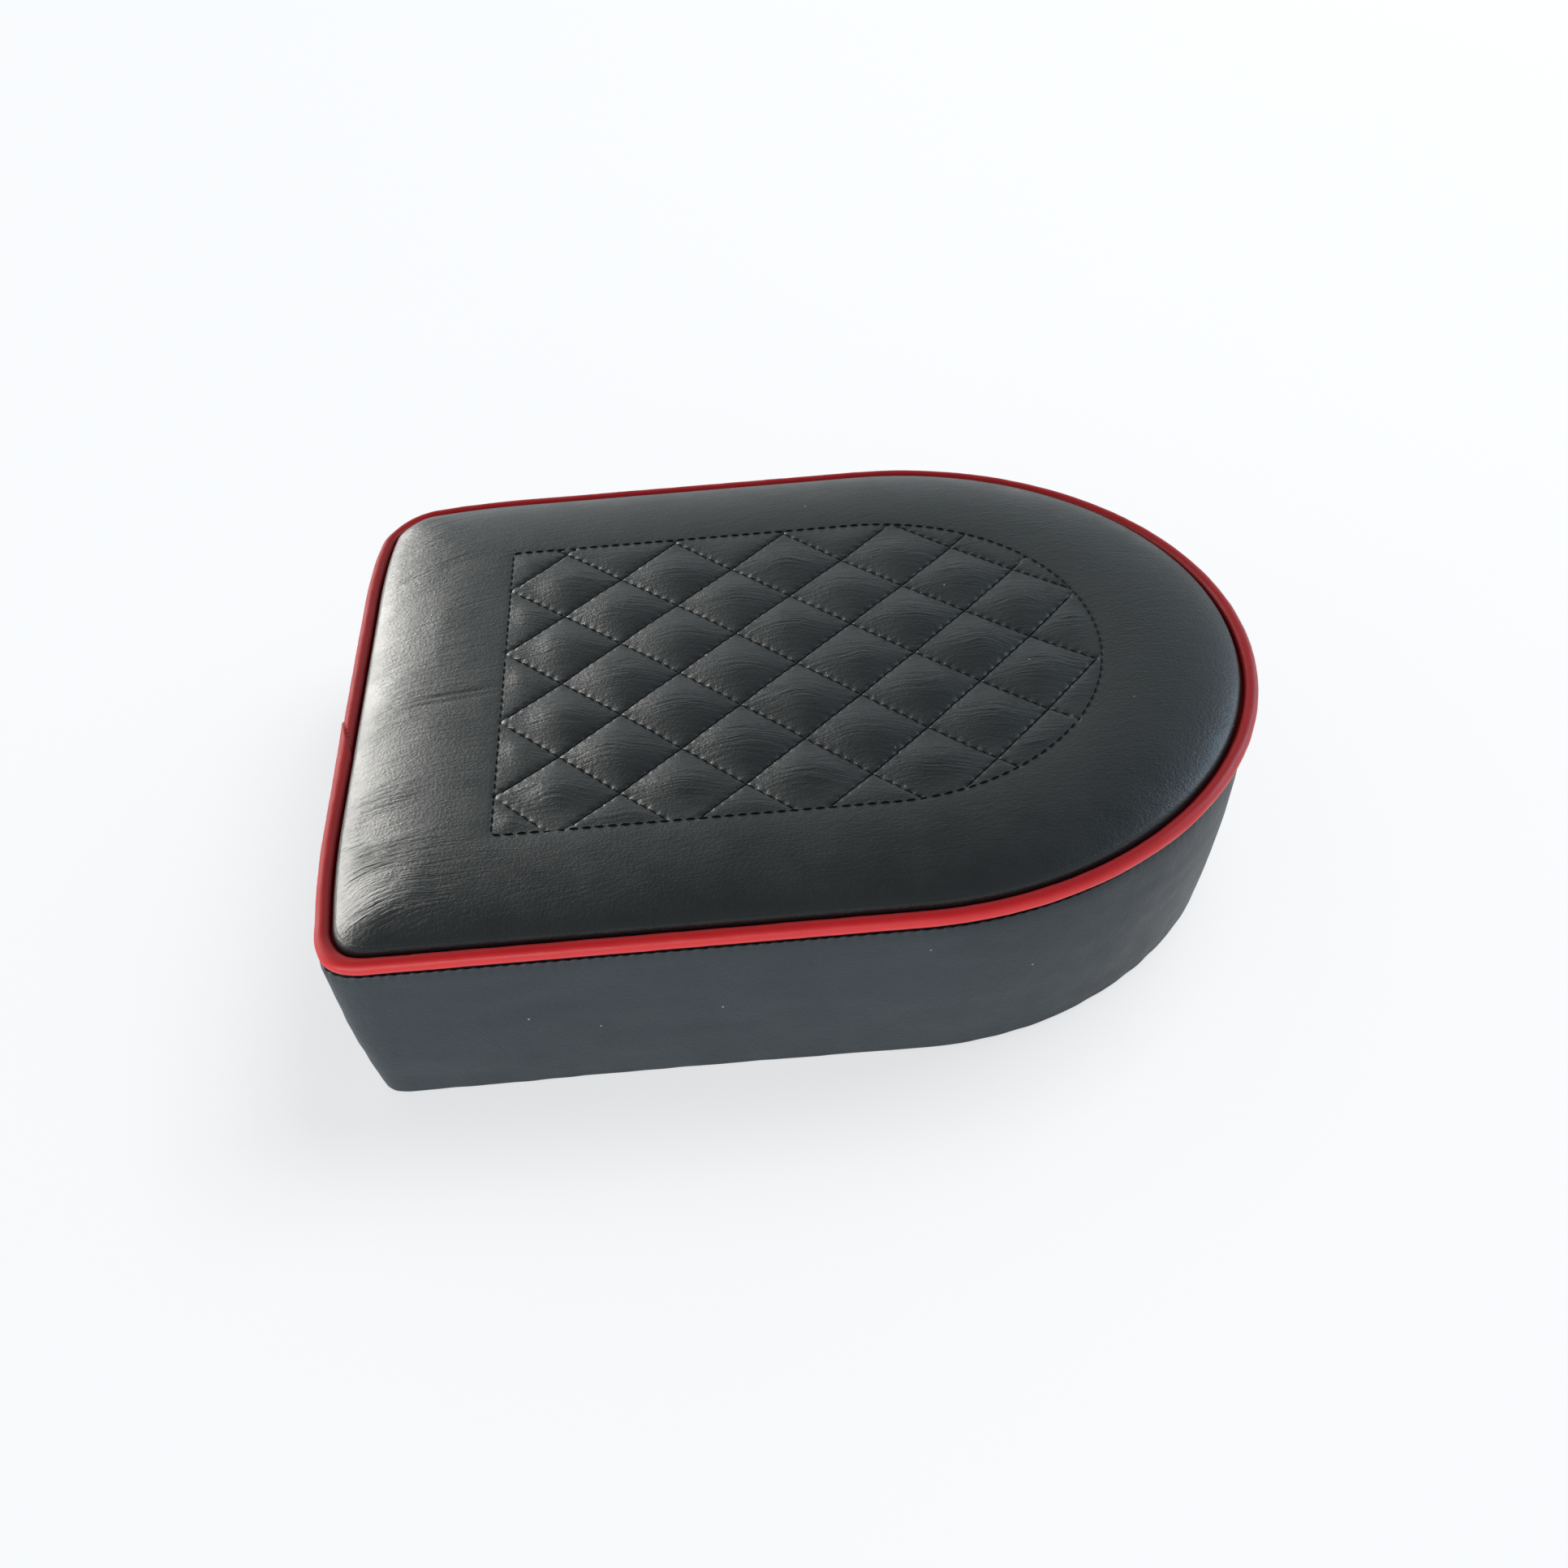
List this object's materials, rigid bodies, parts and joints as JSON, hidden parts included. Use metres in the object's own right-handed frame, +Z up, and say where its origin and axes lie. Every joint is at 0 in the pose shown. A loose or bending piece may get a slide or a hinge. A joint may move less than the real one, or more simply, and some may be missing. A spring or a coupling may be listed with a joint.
{
  "type": "motorcycle seat pad",
  "caption": "D-shaped motorcycle seat pad: quilted black vinyl top, red piping, plain tapered side band, foam core and plywood base with tee nuts, flat end to round end along X",
  "frame": {"origin": "middle of the underside, on the surface that the pad rests on", "axes": "+X runs along the seat to its round end, +Y across it, +Z up"},
  "size_m": [0.3048, 0.2448, 0.0785],
  "materials": {
    "black_vinyl": "satin",
    "red_vinyl": "satin",
    "thread": "matte",
    "foam": "matte",
    "scrim": "matte",
    "filler_cord": "matte",
    "plywood": "matte",
    "zinc": "satin",
    "steel": "satin"
  },
  "bodies": {
    "root": {"top_panel": "black_vinyl", "side_band": "black_vinyl", "piping_skin": "red_vinyl", "piping_cord": "filler_cord", "quilt_thread": "thread", "quilt_foam": "foam", "scrim_cloth": "scrim", "foam_core": "foam", "base_board": "plywood", "tee_nut_1": "zinc", "tee_nut_2": "zinc", "tee_nut_3": "zinc", "tee_nut_4": "zinc", "staple_01": "steel", "staple_02": "steel", "staple_03": "steel", "staple_04": "steel", "staple_05": "steel", "staple_06": "steel", "staple_07": "steel", "staple_08": "steel", "staple_09": "steel", "staple_10": "steel", "staple_11": "steel", "staple_12": "steel", "staple_13": "steel", "staple_14": "steel", "staple_15": "steel", "staple_16": "steel", "staple_17": "steel", "staple_18": "steel", "staple_19": "steel", "staple_20": "steel", "staple_21": "steel", "staple_22": "steel", "staple_23": "steel", "staple_24": "steel", "staple_25": "steel", "staple_26": "steel", "staple_27": "steel", "staple_28": "steel"}
  },
  "joints": []
}
